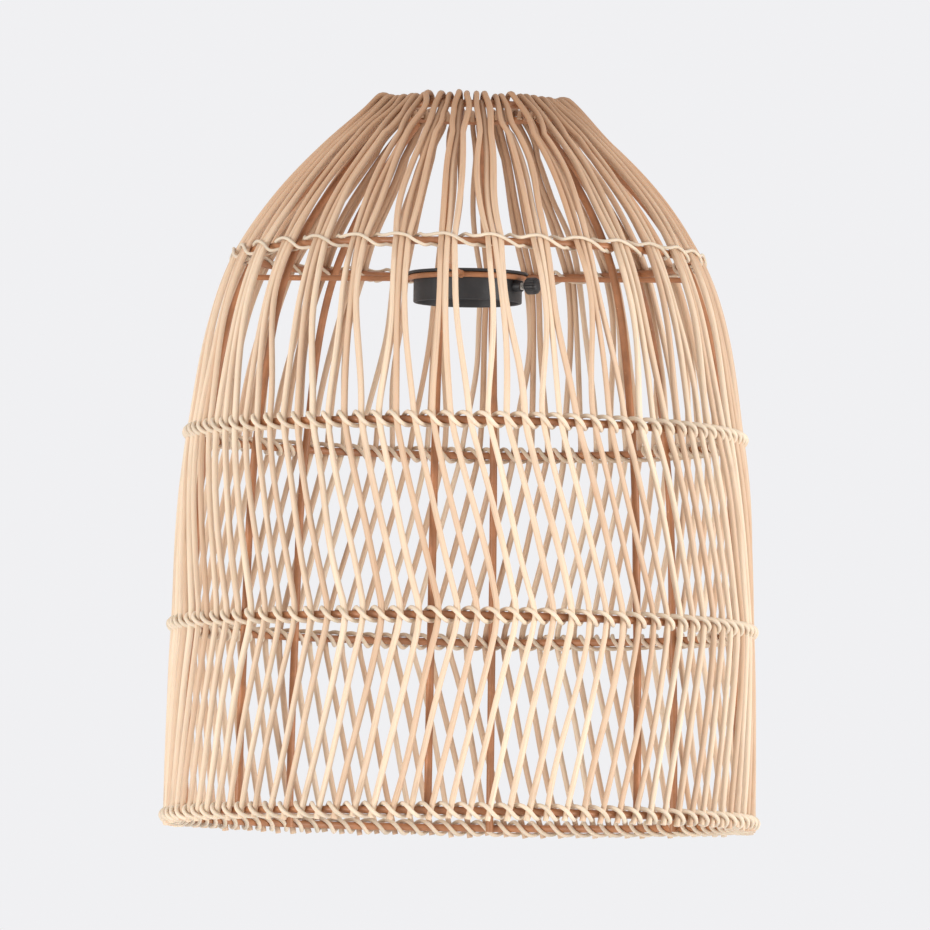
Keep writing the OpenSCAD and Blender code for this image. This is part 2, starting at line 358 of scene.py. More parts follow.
class CaneLayout:
    """Where each cane runs. Side -1, 0 and 1 are the canes of a bundle, and 0 is its middle one."""
    GAP = 0.0001
    KINK = 0.05

    def __init__(self, sizes, outline):
        self.sizes, self.outline = sizes, outline
        self.touch = sizes.cane_diameter + self.GAP
        self.out = outline.wire / 2 + self.GAP + sizes.cane_diameter / 2
        self.bundle_pitch = TAU / BUNDLES
        self.crest_spread = self.touch / 2 / (outline.knots[CREST][0] - self.out)
        self.crest_lateral = self.crest_spread * outline.layer(CREST, self.out)[0]

    def lean_at(self, u):
        s = self.sizes
        if u >= SHOULDER:
            return 0.0
        if u >= UPPER:
            return s.upper_lean * (SHOULDER - u)
        if u >= LOWER:
            return s.upper_lean + s.middle_lean * (UPPER - u)
        return s.upper_lean + s.middle_lean - s.lower_lean * (LOWER - u)

    def lean(self, u):
        """The lean, with its turns at the rows rounded."""
        return (self.lean_at(u - self.KINK) + self.lean_at(u) + self.lean_at(u + self.KINK)) / 3

    def lateral(self, u):
        """Distance between neighbouring canes of a bundle above the shoulder."""
        share = (u - SHOULDER) / (CREST - SHOULDER)
        return self.touch + (self.crest_lateral - self.touch) * share

    def spread(self, u, fan_start):
        radius = self.outline.layer(u, self.out)[0]
        if u >= SHOULDER:
            return self.lateral(u) / radius
        close, even = self.touch / radius, self.bundle_pitch / 3
        if u < UPPER:
            return even
        return close + (even - close) * ease((SHOULDER - u - fan_start) / (1 - fan_start))

    def tuck(self, u):
        """How far the middle cane lies behind the other two above the shoulder."""
        if u <= SHOULDER:
            return 0.0
        return math.sqrt(max(0.0, self.touch**2 - min(self.touch, self.lateral(u))**2))

    def bundle_angle(self, bundle):
        return self.sizes.bundle_turn + bundle * self.bundle_pitch


def band_places():
    """Places along a cane from its foot to the top hoop, closer together where it bends."""
    places = []
    for row, steps in ((RIM, 12), (LOWER, 14), (UPPER, 20), (SHOULDER, 14), (CROWN, 10)):
        places += [row + i / steps for i in range(steps)]
    return places


class Stray:
    """The small wandering of one cane between the rows that hold it."""

    def __init__(self, dice, amount):
        self.across = [dice.gauss(0, amount) for _ in range(CREST)]
        self.twist = [dice.gauss(0, amount / 2) for _ in range(CREST)]
        self.bulge = [dice.gauss(0, amount / 3) for _ in range(CREST)]

    def at(self, u):
        band = min(int(u), CREST - 1)
        t = u - band
        bow, wave = math.sin(math.pi * t), math.sin(TAU * t)
        return self.across[band] * bow + self.twist[band] * wave, self.bulge[band] * bow


FAN_SCATTER = 0.09
LEAST_FAN_START = 0.05
CREST_SLIP = 0.00025
LONGEST_CUT = 0.0012
MIDDLE_CANE_SHORT = 0.0016
DEEPEST_BULGE = 0.0003
CONE_STRAY, CONE_SHARED = 1.6, 1.5
THINNEST, THICKEST, SWELL = 0.90, 1.08, 0.04
HOOK_STEPS = 9
HOOK_END = (172, 196)
HOOK_LIFT = 0.0006


def cane_line(layout, bundle, side, bundle_stray, loose, dice):
    """One cane's points, its thickness along them, and its tint. Loose is its lift at the crest."""
    sizes, outline = layout.sizes, layout.outline
    stray = Stray(dice, sizes.wobble)
    fan_start = max(LEAST_FAN_START, sizes.fan_start + dice.gauss(0, FAN_SCATTER))
    crest_slip = dice.gauss(0, CREST_SLIP)
    cut_short = dice.uniform(0, LONGEST_CUT) / outline.spans[0]
    top = CREST - (MIDDLE_CANE_SHORT / outline.spans[-1] if side == 0 else 0)
    path = []
    for u in [cut_short] + [u for u in band_places() if cut_short < u < top] + [top]:
        across, bulge = stray.at(u)
        shared, _ = bundle_stray.at(u)
        if u > SHOULDER:
            across = side * abs(across) * CONE_STRAY + side * crest_slip * (u - SHOULDER)
            shared *= CONE_SHARED
        out = layout.out + max(bulge, -DEEPEST_BULGE) - (layout.tuck(u) if side == 0 else 0)
        out += loose * ease(u - CROWN)
        place = outline.layer(u, out)
        angle = layout.bundle_angle(bundle) + layout.lean(u) + side * layout.spread(u, fan_start)
        angle += (across + shared) / place[0]
        path.append(turned(place, angle))
    if side:
        path += hook(layout, bundle, side, crest_slip * (CREST - SHOULDER), loose, dice)
    grow = dice.uniform(THINNEST, THICKEST)
    swell = [dice.uniform(-SWELL, SWELL) for _ in range(4)]
    shares = [grow + swell[min(3, 4 * i // len(path))] * math.sin(i * 0.5)
              for i in range(len(path))]
    return path, shares, dice.random(), False


def hook(layout, bundle, side, slip, loose, dice):
    """The end of a side cane, bent over the top hoop into the shade."""
    outline = layout.outline
    centre = outline.knots[CREST]
    end = math.radians(dice.uniform(*HOOK_END))
    lift = dice.uniform(0, HOOK_LIFT)
    points = []
    for i in range(1, HOOK_STEPS + 1):
        share = i / HOOK_STEPS
        angle = CREST_ANGLE + (end - CREST_ANGLE) * share
        radius = layout.out + lift * math.sin(math.pi * share) + loose * (1 - ease(share))
        place = centre + radius * Vector((math.cos(angle), math.sin(angle)))
        turn = layout.bundle_angle(bundle) + side * layout.crest_spread + side * slip / place[0]
        points.append(turned(place, turn))
    return points


# ---------------------------------------------------------------- materials

def material(name):
    """A new material, its node tree, and its shader."""
    result = bpy.data.materials.new(name)
    result.use_nodes = True
    return result, Tree(result.node_tree), result.node_tree.nodes["Principled BSDF"]


def toned(colour, factor, lift=0.0):
    """A colour made darker or lighter."""
    return tuple(min(1.0, channel * factor + lift) for channel in colour[:3]) + (1,)


def mixed(tree, factor, first, second):
    return tree.add("ShaderNodeMix", {0: factor, 6: first, 7: second}, data_type="RGBA").outputs[2]


def ramped(tree, value, low, high, to_low=0.0, to_high=1.0):
    return tree.add("ShaderNodeMapRange", {
        "Value": value, "From Min": low, "From Max": high, "To Min": to_low, "To Max": to_high},
        interpolation_type="SMOOTHSTEP").outputs[0]


def noise(tree, vector, scale, detail=3.0, roughness=0.55):
    return tree.add("ShaderNodeTexNoise", {
        "Vector": vector, "Scale": scale, "Detail": detail, "Roughness": roughness}).outputs["Fac"]


def drawn_noise(tree, fibre, scale, detail):
    """Noise drawn out along the fibre."""
    return noise(tree, tree.vector("MULTIPLY", fibre, scale), 1.0, detail)


def attribute(tree, name):
    node = tree.add("ShaderNodeAttribute", attribute_name=name, attribute_type="GEOMETRY")
    return node.outputs


# Heights over which painted shade darkens the canes towards the top of the cone, and then at the crest.
TOP_SHADE_FROM, TOP_SHADE_TO = -0.030, 0.060
CREST_SHADE_FROM, CREST_SHADE_TO = 0.050, 0.072


def cane_material(name, light, dark, roughness, streak):
    """Peeled cane: streaks and mottling, each cane its own tone, and painted shade that makes it darker and
    browner towards the crest.
    """
    result, tree, shader = material(name)
    fibre = attribute(tree, "fibre")["Vector"]
    tint = attribute(tree, "tint")["Fac"]
    cut = attribute(tree, "cut")["Fac"]
    streaks = drawn_noise(tree, fibre, (2600, 2600, 45), 4)
    mottle = drawn_noise(tree, fibre, (260, 260, 38), 3)
    blotch = drawn_noise(tree, fibre, (60, 60, 9), 2)
    height = tree.add("ShaderNodeSeparateXYZ", {
        0: tree.add("ShaderNodeTexCoord").outputs["Object"]}).outputs["Z"]
    base = mixed(tree, ramped(tree, tint, 0.0, 1.0, 0.0, 0.5), light, dark)
    # Painted shade: darker and browner towards the top, where the cone gets less light.
    base = mixed(tree, ramped(tree, height, TOP_SHADE_FROM, TOP_SHADE_TO, 0.0, 0.70), base, dark)
    # Painted shade: darker still at the crest, where the bundles bend over the top hoop.
    painted_crest_shade = ramped(tree, height, CREST_SHADE_FROM, CREST_SHADE_TO, 0.0, 0.75)
    base = mixed(tree, painted_crest_shade, base, toned(dark, 0.72))
    base = mixed(tree, ramped(tree, blotch, 0.42, 0.72, 0.0, 0.55), base, dark)
    deep = toned(dark, 0.55)
    base = mixed(tree, ramped(tree, mottle, 0.56, 0.80, 0.0, 0.45), base, deep)
    base = mixed(tree, ramped(tree, streaks, 0.50, 0.78, 0.0, streak), base, deep)
    pores = drawn_noise(tree, fibre, (5200, 5200, 1), 2)
    grain = mixed(tree, ramped(tree, pores, 0.45, 0.62, 0.0, 0.7), toned(light, 1.08), deep)
    tree.join(mixed(tree, cut, base, grain), shader, "Base Color")
    rough = ramped(tree, streaks, 0.3, 0.8, roughness - 0.06, roughness + 0.12)
    tree.join(rough, shader, "Roughness")
    relief = tree.math("ADD", tree.math("MULTIPLY", streaks, 0.7),
                       tree.math("MULTIPLY", mottle, 0.5))
    bump = tree.add("ShaderNodeBump", {
        "Height": relief, "Strength": 0.55, "Distance": 0.0002}).outputs[0]
    tree.join(bump, shader, "Normal")
    shader.inputs["Specular IOR Level"].default_value = 0.35
    shader.inputs["Subsurface Weight"].default_value = 0.12
    shader.inputs["Subsurface Radius"].default_value = (0.002, 0.001, 0.0005)
    return result


def painted_material(name, colour, worn, roughness, speckle):
    """Painted or powder-coated metal with a fine orange-peel skin and worn flecks."""
    result, tree, shader = material(name)
    place = tree.add("ShaderNodeTexCoord").outputs["Object"]
    skin = noise(tree, place, 1800.0, 3)
    cloud = noise(tree, place, 90.0, 4)
    flecks = noise(tree, place, 420.0, 5, 0.7)
    base = mixed(tree, ramped(tree, cloud, 0.35, 0.70, 0.0, 0.6), colour, worn)
    base = mixed(tree, ramped(tree, flecks, 0.64, 0.70, 0.0, speckle), base,
                 toned(worn, 2.2, 0.02))
    tree.join(base, shader, "Base Color")
    rough = ramped(tree, skin, 0.3, 0.7, roughness - 0.05, roughness + 0.10)
    tree.join(rough, shader, "Roughness")
    bump = tree.add("ShaderNodeBump", {
        "Height": skin, "Strength": 0.25, "Distance": 0.0001}).outputs[0]
    tree.join(bump, shader, "Normal")
    shader.inputs["Specular IOR Level"].default_value = 0.5
    return result


def steel_material(name):
    """Zinc-plated steel with turning marks."""
    result, tree, shader = material(name)
    place = tree.add("ShaderNodeTexCoord").outputs["Object"]
    marks = noise(tree, place, 2600.0, 3)
    dull = noise(tree, place, 300.0, 3)
    bright, grey = (0.62, 0.61, 0.58, 1), (0.45, 0.43, 0.39, 1)
    base = mixed(tree, ramped(tree, dull, 0.4, 0.7), bright, grey)
    tree.join(base, shader, "Base Color")
    tree.join(ramped(tree, marks, 0.3, 0.7, 0.24, 0.42), shader, "Roughness")
    bump = tree.add("ShaderNodeBump", {
        "Height": marks, "Strength": 0.2, "Distance": 0.00005}).outputs[0]
    tree.join(bump, shader, "Normal")
    shader.inputs["Metallic"].default_value = 1.0
    return result


# ---------------------------------------------------------------- canes

class SHADE_OT_canes(bpy.types.Operator):
    """Sweep the three canes of each bundle"""
    bl_idname = "cane_shade.canes"
    bl_label = "Canes"

    def execute(self, context):
        sizes, colours = context.scene.shade_sizes, context.scene.shade_colours
        layout = CaneLayout(sizes, Outline(sizes))
        tree = sweep_tree()
        finish = cane_material("Peeled Cane", colours.cane_light, colours.cane_dark, 0.50, 0.40)
        dice = random.Random(sizes.seed)
        for bundle in range(BUNDLES):
            bundle_stray = Stray(dice, sizes.wobble)
            loose = sizes.bump_height * dice.random() ** 1.5
            lines = [cane_line(layout, bundle, side, bundle_stray,
                               loose * dice.uniform(0.4, 1.0), dice) for side in (-1, 0, 1)]
            name = f"canes_{bundle + 1}"
            piece = grown(name, line_mesh(name + "_lines", lines), tree,
                          {"Diameter": sizes.cane_diameter, "Sides": 10, "Material": finish})
            install(piece, SHADE, "cane", f"cane_bundle_{bundle + 1}")
        return {"FINISHED"}


# ---------------------------------------------------------------- twined rows

def twined_row_tree():
    """A pair of strands twined round a hoop, one stitch over each stake or bundle."""
    tree = GeometryTree("Twined Row", {
        "Radius": "NodeSocketFloat", "Height": "NodeSocketFloat", "Tilt": "NodeSocketFloat",
        "Stitches": "NodeSocketInt", "Steps": "NodeSocketInt", "Turn": "NodeSocketFloat",
        "Outer Reach": "NodeSocketFloat", "Inner Reach": "NodeSocketFloat",
        "Lift": "NodeSocketFloat", "Sag": "NodeSocketFloat", "Front Share": "NodeSocketFloat",
        "Wobble": "NodeSocketFloat", "Seed": "NodeSocketFloat",
        "Diameter": "NodeSocketFloat", "Sides": "NodeSocketInt", "Material": "NodeSocketMaterial"})
    start = tree.start
    count = tree.math("MULTIPLY", start["Stitches"], start["Steps"])
    share = tree.add("GeometryNodeSplineParameter").outputs["Factor"]
    around = tree.math("MULTIPLY", share, TAU)
    angle = tree.math("ADD", around, start["Turn"])
    half_turns = tree.math("MULTIPLY", tree.math("MULTIPLY", share, start["Stitches"]), math.pi)
    outer, inner = start["Outer Reach"], start["Inner Reach"]
    middle = tree.math("MULTIPLY", tree.math("SUBTRACT", outer, inner), 0.5)
    swing = tree.math("MULTIPLY", tree.math("ADD", outer, inner), 0.5)
    tilt_out, tilt_up = tree.math("COSINE", start["Tilt"]), tree.math("SINE", start["Tilt"])
    joined = tree.add("GeometryNodeJoinGeometry")
    for strand in range(2):
        even = tree.math("ADD", half_turns, strand * math.pi)
        swing_late = tree.math("MULTIPLY", tree.math("SINE", even), start["Front Share"])
        phase = tree.math("SUBTRACT", even, swing_late)
        wave = tree.math("COSINE", phase)
        crossing = tree.math("SINE", phase)
        bend = tree.add("ShaderNodeTexNoise", {
            "W": tree.math("ADD", tree.math("MULTIPLY", share, 90.0),
                           tree.math("ADD", start["Seed"], strand * 31.7)),
            "Scale": 1.0, "Detail": 1.0}, noise_dimensions="1D").outputs[0]
        stray = tree.math("MULTIPLY", tree.math("SUBTRACT", bend, 0.5), start["Wobble"])
        out = tree.math("ADD", middle, tree.math("MULTIPLY", swing, wave))
        in_front = tree.math("MULTIPLY", tree.math("MAXIMUM", wave, 0.0), 2.0)
        dip = tree.math("MULTIPLY", tree.math("MULTIPLY", crossing, crossing), start["Sag"])
        dip = tree.math("MULTIPLY", dip, in_front)
        rise = tree.math("SUBTRACT", tree.math("MULTIPLY", start["Lift"], crossing), dip)
        rise = tree.math("ADD", rise, stray)
        reach = tree.math("ADD", start["Radius"], tree.math(
            "SUBTRACT", tree.math("MULTIPLY", out, tilt_out), tree.math("MULTIPLY", rise, tilt_up)))
        height = tree.math("ADD", start["Height"], tree.math(
            "ADD", tree.math("MULTIPLY", out, tilt_up), tree.math("MULTIPLY", rise, tilt_out)))
        place = tree.add("ShaderNodeCombineXYZ", {
            "X": tree.math("MULTIPLY", reach, tree.math("SINE", angle)),
            "Y": tree.math("MULTIPLY", reach,
                           tree.math("MULTIPLY", tree.math("COSINE", angle), -1.0)),
            "Z": height}).outputs[0]
        ring = tree.add("GeometryNodeCurvePrimitiveCircle",
                        {"Resolution": count, "Radius": start["Radius"]}).outputs["Curve"]
        along = tree.math("ADD", tree.math("MULTIPLY", around, start["Radius"]), strand * 3.0)
        ring = tree.store(ring, "along", "FLOAT", along)
        ring = tree.store(ring, "tint", "FLOAT", bend)
        ring = tree.add("GeometryNodeSetPosition", {"Geometry": ring, "Position": place}).outputs[0]
        tree.join(ring, joined, 0)
    tube = tree.add("GeometryNodeCurveToMesh",
                    {"Curve": joined.outputs[0], "Profile Curve": tree.section()}).outputs[0]
    smooth = tree.add("GeometryNodeSetShadeSmooth", {"Geometry": tree.with_fibre(tube)}).outputs[0]
    return tree.finish(smooth)


ROW_WOBBLE = 0.0005
TIE_WOBBLE, TIE_SAG, TIE_FRONT_SHARE = 0.0010, 0.0022, 0.45


class SHADE_OT_rows(bpy.types.Operator):
    """Twine the four rows of strands that bind the canes to the hoops"""
    bl_idname = "cane_shade.rows"
    bl_label = "Twined Rows"

    def execute(self, context):
        sizes, colours = context.scene.shade_sizes, context.scene.shade_colours
        outline = Outline(sizes)
        layout = CaneLayout(sizes, outline)
        tree = twined_row_tree()
        pale = tuple(colours.strand)
        finish = cane_material("Twined Strand", pale, toned(pale, 0.62), 0.58, 0.35)
        gap = CaneLayout.GAP
        rows = (("rim", outline.rim_u, STAKES, 10), ("lower", LOWER, STAKES, 10),
                ("upper", UPPER, STAKES, 10), ("shoulder", SHOULDER, BUNDLES, 24))
        for number, (name, place, stitches, steps) in enumerate(rows):
            point, normal, _ = outline.curve(place)
            tucked = name == "shoulder"
            strand = sizes.tie_diameter if tucked else sizes.strand_diameter
            inner = outline.wire / 2 + gap + strand / 2
            outer = inner + gap + sizes.cane_diameter
            piece = grown(f"{name}_twining", bpy.data.meshes.new(f"{name}_row"), tree, {
                "Radius": point[0], "Height": point[1], "Tilt": math.atan2(normal[1], normal[0]),
                "Stitches": stitches, "Steps": steps,
                "Turn": sizes.bundle_turn + layout.lean(place),
                "Outer Reach": outer, "Inner Reach": inner,
                "Lift": -(inner + gap), "Sag": TIE_SAG if tucked else 0.0,
                "Front Share": TIE_FRONT_SHARE if tucked else 0.0,
                "Wobble": TIE_WOBBLE if tucked else ROW_WOBBLE, "Seed": number * 7.3,
                "Diameter": strand, "Sides": 8, "Material": finish})
            install(piece, SHADE, "strand", f"{name}_binding")
        return {"FINISHED"}


# ---------------------------------------------------------------- wire frame

def ring_line(radius, height, steps=220):
    return [turned((radius, height), TAU * i / steps) for i in range(steps)]


def place_at(outline, height, out, low=float(RIM), high=float(CREST)):
    """The place on the outline whose layer lies at a height, found by halving."""
    for _ in range(30):
        middle = (low + high) / 2
        if outline.layer(middle, out)[1] < height:
            low = middle
        else:
            high = middle
    return low


def rib_face(outline, height, inside):
    """Radius to the inner face of a rib at a height."""
    return outline.layer(place_at(outline, height, inside), inside)[0] - outline.wire / 2


def weld_tree():
    """A bead of weld at each point, no two alike."""
    tree = GeometryTree("Weld Beads", {
        "Bead Radius": "NodeSocketFloat", "Seed": "NodeSocketInt",
        "Material": "NodeSocketMaterial"})
    start = tree.start
    bead = tree.add("GeometryNodeMeshIcoSphere",
                    {"Radius": start["Bead Radius"], "Subdivisions": 3}).outputs[0]
    size = tree.add("FunctionNodeRandomValue", {
        "Min": (0.85, 0.85, 0.85), "Max": (1.15, 1.15, 1.35), "Seed": start["Seed"]},
        data_type="FLOAT_VECTOR").outputs[0]
    points = tree.add("GeometryNodeMeshToPoints", {
        "Mesh": start["Geometry"], "Radius": 0.001}).outputs[0]
    beads = tree.add("GeometryNodeInstanceOnPoints",
                     {"Points": points, "Instance": bead, "Scale": size}).outputs[0]
    real = tree.add("GeometryNodeRealizeInstances", {"Geometry": beads}).outputs[0]
    return tree.finish(tree.add("GeometryNodeSetShadeSmooth", {"Geometry": real}).outputs[0])


WIRE_SIDES = 16
RIB_STEPS = 90
ARM_STEPS = 20
BEAD_RADIUS = 0.0013
BEAD_STAND_OFF = 0.0006


class SHADE_OT_frame(bpy.types.Operator):
    """Draw the painted wires: hoops, ribs, carrier ring and arms, with their welds"""
    bl_idname = "cane_shade.frame"
    bl_label = "Wire Frame"

    def execute(self, context):
        sizes, colours = context.scene.shade_sizes, context.scene.shade_colours
        outline = Outline(sizes)
        brown = tuple(colours.frame_brown)
        self.sweep = sweep_tree()
        self.paint = painted_material("Brown Painted Wire", brown, toned(brown, 1.7), 0.42, 0.35)
        for node in HOOPS:
            radius, height, wire = hoop_size(node)
            piece = self.wires(f"{node}_wire", [(ring_line(radius, height), 1.0, 0.5, True)], wire)
            install(piece, SHADE, "frame_wire", node)
        wire = outline.wire
        inside = -(wire + CaneLayout.GAP)
        foot = outline.rim_u * (1 - wire / 2 / (outline.rim_u * outline.spans[0]))
        for rib in range(RIBS):
            turn = sizes.rib_turn + rib * TAU / RIBS
            places = [foot + (CREST - foot) * i / RIB_STEPS for i in range(RIB_STEPS + 1)]
            path = [turned(outline.layer(u, inside), turn) for u in places]
            piece = self.wires(f"rib_{rib + 1}_wire", [(path, 1.0, 0.5, False)], wire)
            install(piece, SHADE, "frame_wire", f"rib_{rib + 1}")
        self.carrier(sizes, outline, inside)
        self.welds(sizes, outline, inside)
        return {"FINISHED"}

    def wires(self, name, lines, wire):
        """A piece of wire swept along lines."""
        return grown(name, line_mesh(name + "_lines", lines), self.sweep,
                     {"Diameter": wire, "Sides": WIRE_SIDES, "Material": self.paint})

    def carrier(self, sizes, outline, inside):
        """The carrier ring and the arms from it to every second rib."""
        radius, height, wire = hoop_size("carrier_ring")
        ring = ring_line(radius, height, 96)
        piece = self.wires("carrier_ring_wire", [(ring, 1.0, 0.5, True)], wire)
        install(piece, SHADE, "frame_wire", "carrier_ring")
        rib_radius = rib_face(outline, height, inside)
        for arm in range(4):
            turn = sizes.rib_turn + arm * TAU / 4
            reach = [radius + wire / 2 + (rib_radius - radius - wire) * i / ARM_STEPS
                     for i in range(ARM_STEPS + 1)]
            path = [turned((r, height), turn) for r in reach]
            piece = self.wires(f"carrier_arm_{arm + 1}_wire", [(path, 1.0, 0.5, False)], wire)
            install(piece, SHADE, "frame_wire", f"carrier_arm_{arm + 1}")

    def welds(self, sizes, outline, inside):
        """Beads where the ribs meet the hoops, and where the arms meet the ribs and the ring."""
        spots = []
        radius, height, wire = hoop_size("carrier_ring")
        rib_radius = rib_face(outline, height, inside)
        for rib in range(RIBS):
            turn = sizes.rib_turn + rib * TAU / RIBS
            for place in (outline.rim_u, LOWER, UPPER, SHOULDER, CREST):
                spots.append(turned(outline.layer(place, inside / 2), turn))
            if rib % 2 == 0:
                spots.append(turned((radius + wire / 2, height), turn))
                spots.append(turned((rib_radius - BEAD_STAND_OFF, height), turn))
        mesh = bpy.data.meshes.new("weld_spots")
        mesh.from_pydata(spots, [], [])
        piece = grown("frame_welds", mesh, weld_tree(),
                      {"Bead Radius": BEAD_RADIUS, "Seed": sizes.seed, "Material": self.paint})
        install(piece, SHADE, "frame_wire")


# ---------------------------------------------------------------- fitter

def screw_axis():
    """The way out along the clamp screw, from the centre of the bore."""
    travel = next(joint for joint in frame["joints"] if joint["name"] == "screw_travel")
    return -Vector(travel["axis"]).normalized()


def span_along(node, axis):
    """The least and greatest reach of a CAD node along an axis through the origin."""
    reaches = [vertex.co.dot(axis) for vertex in frame["nodes"][node].data.vertices]
    return min(reaches), max(reaches)


def width_across(node, axis):
    """The largest distance of a CAD node from an axis through the origin."""
    points = [vertex.co for vertex in frame["nodes"][node].data.vertices]
    return max((point - point.dot(axis) * axis).length for point in points)


def along_axis(axis):
    """Turns +Z to an axis."""
    return axis.to_track_quat("Z", "Y").to_matrix().to_4x4()


def revolved(name, profile, steps, turn=None, closed=False):
    """A solid turned about Z from (radius, height) points, capped at its ends or closed."""
    shape = bmesh.new()
    rings = []
    for number, (radius, height) in enumerate(profile):
        ring = []
        for i in range(steps):
            r = turn(number, i, radius) if turn else radius
            a = TAU * i / steps
            ring.append(shape.verts.new((r * math.cos(a), r * math.sin(a), height)))
        rings.append(ring)
    pairs = list(zip(rings, rings[1:] + rings[:1])) if closed else list(zip(rings, rings[1:]))
    for low, high in pairs:
        for i in range(steps):
            j = (i + 1) % steps
            shape.faces.new((low[i], low[j], high[j], high[i]))
    if not closed:
        shape.faces.new(rings[0][::-1])
        shape.faces.new(rings[-1])
    bmesh.ops.recalc_face_normals(shape, faces=shape.faces)
    mesh = bpy.data.meshes.new(name)
    shape.to_mesh(mesh)
    shape.free()
    return mesh


def shown(name, mesh, finish):
    piece = bpy.data.objects.new(name, mesh)
    bpy.context.scene.collection.objects.link(piece)
    mesh.materials.append(finish)
    mesh.shade_smooth()
    mesh.set_sharp_from_angle(angle=math.radians(40))
    return piece


def rounded_corner(x, y, r, start, steps=4):
    """Points of a quarter round about (x, y), from an angle in degrees, anticlockwise."""
    return [(x + r * math.cos(math.radians(start + 90 * i / steps)),
             y + r * math.sin(math.radians(start + 90 * i / steps))) for i in range(steps + 1)]


def combined(base, tool, operation):
    """The base mesh object cut or joined by a tool, as a plain mesh. The tool is removed."""
    modifier = base.modifiers.new("Combine", "BOOLEAN")
    modifier.operation = operation
    modifier.solver = "EXACT"
    modifier.object = tool
    graph = bpy.context.evaluated_depsgraph_get()
    mesh = bpy.data.meshes.new_from_object(base.evaluated_get(graph))
    base.modifiers.clear()
    base.data = mesh
    bpy.data.objects.remove(tool)


class SHADE_OT_fitter(bpy.types.Operator):
    """Make the clamp collar, its screw and the screw's knob"""
    bl_idname = "cane_shade.fitter"
    bl_label = "Fitter"

    def execute(self, context):
        colours = context.scene.shade_colours
        black = tuple(colours.fitter_black)
        soft = toned(black, 1.8)
        self.coat = painted_material("Black Powder Coat", black, soft, 0.45, 0.12)
        self.grip = painted_material("Black Moulding", black, soft, 0.38, 0.0)
        self.steel = steel_material("Zinc-Plated Screw")
        self.collar()
        self.screw()
        self.knob()
        return {"FINISHED"}

    def collar(self):
        """A sleeve with a rolled flange and a threaded boss."""
        axis = screw_axis()
        low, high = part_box("fitter_collar")
        mount = frame["record"]["mounts"][0]["dims"]
        bore = mount["r_mm"] / 1000
        flange = (high[2] - low[2]) / 10
        boss_end = span_along("fitter_collar", axis)[1]
        ring_radius, _, ring_wire = hoop_size("carrier_ring")
        flange_r = ring_radius + ring_wire / 2
        sleeve = ring_radius - ring_wire / 2 - 0.0001
        edge = flange * 0.42
        profile = (
            rounded_corner(sleeve - edge, low[2] + edge, edge, -90)
            + [(sleeve, high[2] - flange)]
            + rounded_corner(flange_r - edge, high[2] - flange + edge, edge, -90)
            + rounded_corner(flange_r - edge, high[2] - edge, edge, 0)
            + rounded_corner(bore + edge, high[2] - edge, edge, 90)
            + rounded_corner(bore + edge, low[2] + edge, edge, 180))
        piece = shown("collar", revolved("collar", profile, 128, closed=True), self.coat)
        boss_r, boss_edge = 0.0022, 0.0003
        boss = ([(boss_r, bore + 0.0006)]
                + rounded_corner(boss_r - boss_edge, boss_end - boss_edge, boss_edge, 0))
        tool = shown("boss", revolved("boss", boss, 48), self.coat)
        tool.data.transform(along_axis(axis))
        combined(piece, tool, "UNION")
        hole_r = width_across("clamp_screw", axis) + 0.00005
        hole = [(hole_r, bore * 0.8), (hole_r, boss_end - boss_edge),
                (hole_r + 0.0004, boss_end + 0.0002)]
        tool = shown("hole", revolved("hole", hole, 32), self.coat)
        tool.data.transform(along_axis(axis))
        combined(piece, tool, "DIFFERENCE")
        piece.data.set_sharp_from_angle(angle=math.radians(35))
        install(piece, SHADE, "black_metal", "fitter_collar")

    def screw(self):
        """A shank with a rolled thread and a dog point."""
        axis = screw_axis()
        low, high = span_along("clamp_screw", axis)
        radius = width_across("clamp_screw", axis)
        pitch, depth, steps, around = 0.0005, 0.00028, 8, 24
        point = 0.0007
        rows = int((high - low - point) / pitch * steps)
        root, chamfer = radius - depth, 0.0003
        profile = [(root - chamfer, low), (root, low + chamfer), (root, low + point)]
        first = len(profile)
        profile += [(radius, low + point + pitch * i / steps) for i in range(1, rows + 1)]

        def threaded(number, i, r):
            if number < first:
                return r
            phase = ((number - first) / steps - i / around) % 1.0
            return r - depth * abs(2 * phase - 1)

        piece = shown("screw", revolved("screw", profile, around, threaded), self.steel)
        piece.data.transform(along_axis(axis))
        install(piece, SCREW, "screw_steel", "clamp_screw")

    def knob(self):
        """A fluted grip with a domed end and a small collar."""
        axis = screw_axis()
        low, high = span_along("clamp_knob", axis)
        radius = width_across("clamp_knob", axis)
        length = high - low
        flutes, around = 14, 168
        neck, neck_height, shank_r = 0.62 * radius, 0.0007, 0.0017
        edge, flute_depth = 0.0004, 0.00028
        grip_share, dome_share = 0.68, 0.32
        profile = ([(shank_r, low), (neck, low), (neck, low + neck_height)]
                   + rounded_corner(radius - edge, low + neck_height + edge, edge, -90)
                   + [(radius, low + length * share)
                      for share in (0.30, 0.40, 0.50, 0.60, grip_share)]
                   + [(radius * math.cos(a) ** 0.7,
                       low + length * (grip_share + dome_share * math.sin(a)))
                      for a in (math.radians(d) for d in (12, 24, 36, 48, 60, 70, 79, 86))])
        grip_rows = range(3, len(profile) - 4)

        def fluted(number, i, r):
            if number not in grip_rows or r < 0.75 * radius:
                return r
            dip = max(0.0, math.cos(TAU * flutes * i / around)) ** 3
            return r - flute_depth * dip

        piece = shown("knob", revolved("knob", profile, around, fluted), self.grip)
        piece.data.transform(along_axis(axis))
        install(piece, KNOB, "black_plastic", "clamp_knob")


# ---------------------------------------------------------------- stage

CAMERA_DISTANCE = 4.03
CAMERA_BELOW = math.radians(3.7)
CAMERA_ROLL = math.radians(0.9)
RIM_ABOVE_FLOOR = 1.18
SKY = (0.872, 0.872, 0.890, 1)


